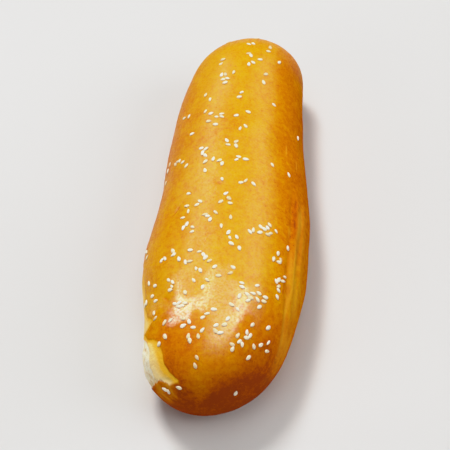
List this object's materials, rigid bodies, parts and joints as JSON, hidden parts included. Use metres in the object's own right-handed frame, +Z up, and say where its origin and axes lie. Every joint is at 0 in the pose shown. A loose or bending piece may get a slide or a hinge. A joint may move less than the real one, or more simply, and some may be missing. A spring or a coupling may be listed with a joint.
{
  "type": "hot dog bun",
  "caption": "Large uncut hot dog bun with rounded ends, a flat base, a browned shiny crust with sesame seeds, stretch folds and a torn soft side.",
  "frame": {"origin": "middle of the bounding box at its bottom, on the surface that the bun rests on", "axes": "+Z up, +Y along the bun from its near end to its far end, -X towards the torn flank"},
  "size_m": [0.099, 0.27, 0.0668],
  "materials": {
    "crust": "egg-washed golden crust, satin to glossy",
    "sesame_seed": "pale cream seeds, satin"
  },
  "bodies": {
    "root": {"bun": "crust"}
  },
  "joints": []
}
